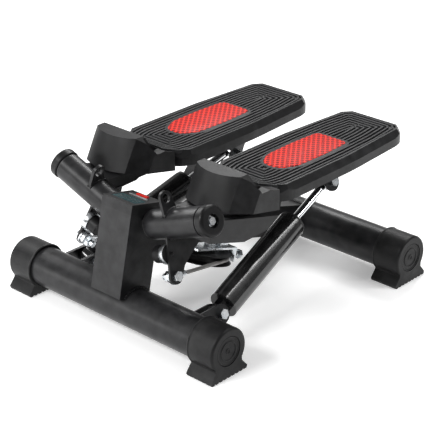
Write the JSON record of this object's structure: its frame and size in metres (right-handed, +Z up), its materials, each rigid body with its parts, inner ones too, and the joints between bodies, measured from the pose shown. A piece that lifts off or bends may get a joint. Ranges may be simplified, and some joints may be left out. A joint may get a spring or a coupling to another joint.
{
  "type": "mini stepper",
  "caption": "Twist stepper: two foot pedals on inclined axles, linked by a cable round a pulley and slowed by hydraulic dampers.",
  "frame": {"origin": "centre of the bounding box's bottom, on the floor", "axes": "+X across the machine to the right of someone who faces its front, +Y to the back where the heels are, +Z up"},
  "size_m": [0.38, 0.4162, 0.204],
  "materials": {
    "black_steel": "satin black powder coat",
    "black_rubber": "matt moulded rubber",
    "red_rubber": "soft red rubber with fine dimples",
    "black_plastic": "fine-grained moulded plastic",
    "grey_nylon": "plain nylon",
    "pulley_nylon": "plain nylon",
    "zinc": "bright zinc plate",
    "chrome": "hard chrome",
    "damper_black": "semi-gloss black",
    "damper_gland": "plain",
    "cable_sheath": "smooth grey sheath",
    "display": "smooth window",
    "silver_print": "thin silver strip",
    "red_button": "smooth",
    "circuit_board": "plain",
    "battery_steel": "plain",
    "sensor_plastic": "plain"
  },
  "bodies": {
    "root": {"front_tube": "black_steel", "rear_tube": "black_steel", "main_beam": "black_steel", "front_post": "black_steel", "front_right_foot": "black_rubber", "front_left_foot": "black_rubber", "rear_right_foot": "black_rubber", "rear_left_foot": "black_rubber", "right_axle_shaft": "zinc", "left_axle_shaft": "zinc", "axle_end_caps": "black_plastic", "axle_bolts": "zinc", "damper_lower_brackets": "black_steel", "damper_lower_bolts": "zinc", "pulley_bracket": "zinc", "pulley_bolt": "zinc", "tension_bolt": "zinc", "steel_cable": "cable_sheath", "monitor_housing": "black_plastic", "monitor_lens": "display", "monitor_trim": "silver_print", "monitor_board": "circuit_board", "monitor_battery": "battery_steel", "step_sensor": "sensor_plastic"},
    "right_pedal": {"right_sleeve": "black_steel", "right_bushes": "grey_nylon", "right_arm": "black_steel", "right_lever": "black_steel", "right_band_hook": "black_steel", "right_stop_bumper": "black_rubber", "right_anchor_bolt": "zinc", "right_cable_end": "zinc", "right_tray": "black_plastic", "right_tread": "black_rubber", "right_pad": "red_rubber", "right_tray_screws": "zinc", "right_damper_top_bolt": "zinc", "sensor_magnet": "zinc"},
    "left_pedal": {"left_sleeve": "black_steel", "left_bushes": "grey_nylon", "left_arm": "black_steel", "left_lever": "black_steel", "left_band_hook": "black_steel", "left_stop_bumper": "black_rubber", "left_anchor_bolt": "zinc", "left_cable_end": "zinc", "left_tray": "black_plastic", "left_tread": "black_rubber", "left_pad": "red_rubber", "left_tray_screws": "zinc", "left_damper_top_bolt": "zinc"},
    "right_damper_barrel": {"right_damper_barrel": "damper_black", "right_damper_gland": "damper_gland"},
    "left_damper_barrel": {"left_damper_barrel": "damper_black", "left_damper_gland": "damper_gland"},
    "right_damper_rod": {"right_damper_rod": "chrome"},
    "left_damper_rod": {"left_damper_rod": "chrome"},
    "pulley": {"cable_pulley": "pulley_nylon"},
    "monitor_button": {"monitor_button": "red_button"}
  },
  "joints": [
    {"name": "right_pedal_hinge", "type": "hinge", "parent": "root", "child": "right_pedal", "pos_m": [0, -0.14993, 0.1244], "axis": [0.9397, 0, 0.342], "range_deg": [-10, 10], "deforming": ["steel_cable"]},
    {"name": "left_pedal_hinge", "type": "hinge", "parent": "root", "child": "left_pedal", "pos_m": [0, -0.14993, 0.1244], "axis": [0.9397, 0, -0.342], "range_deg": [-10, 10]},
    {"name": "right_barrel_hinge", "type": "hinge", "parent": "root", "child": "right_damper_barrel", "pos_m": [0.11172, -0.13132, 0.03821], "axis": [0.9397, 0, 0.342], "range_deg": [-9.2, 9.2]},
    {"name": "left_barrel_hinge", "type": "hinge", "parent": "root", "child": "left_damper_barrel", "pos_m": [-0.11172, -0.13132, 0.03821], "axis": [0.9397, 0, -0.342], "range_deg": [-9.2, 9.2]},
    {"name": "right_rod_slide", "type": "slide", "parent": "right_damper_barrel", "child": "right_damper_rod", "axis": [-0.1179, 0.9387, 0.3239], "range_m": [-0.021, 0.021]},
    {"name": "left_rod_slide", "type": "slide", "parent": "left_damper_barrel", "child": "left_damper_rod", "axis": [0.1179, 0.9387, 0.3239], "range_m": [-0.021, 0.021]},
    {"name": "pulley_spin", "type": "hinge", "parent": "root", "child": "pulley", "pos_m": [0, -0.04292, 0.04737], "axis": [0, 0.3173, 0.9483], "range_deg": [-16, 16]},
    {"name": "button_press", "type": "slide", "parent": "root", "child": "monitor_button", "axis": [0, -0.2334, -0.9724], "range_m": [0, 0.0012], "stiffness_N_per_m": 400, "springref_m": -0.001}
  ],
  "couplings": [
    {"joint": "left_pedal_hinge", "follows": "right_pedal_hinge", "ratio": -1},
    {"joint": "right_barrel_hinge", "follows": "right_pedal_hinge", "ratio": 0.907},
    {"joint": "left_barrel_hinge", "follows": "right_pedal_hinge", "ratio": -0.907},
    {"joint": "right_rod_slide", "follows": "right_pedal_hinge", "m_per_rad": 0.118},
    {"joint": "left_rod_slide", "follows": "right_pedal_hinge", "m_per_rad": -0.118},
    {"joint": "pulley_spin", "follows": "right_pedal_hinge", "ratio": 1.59}
  ]
}
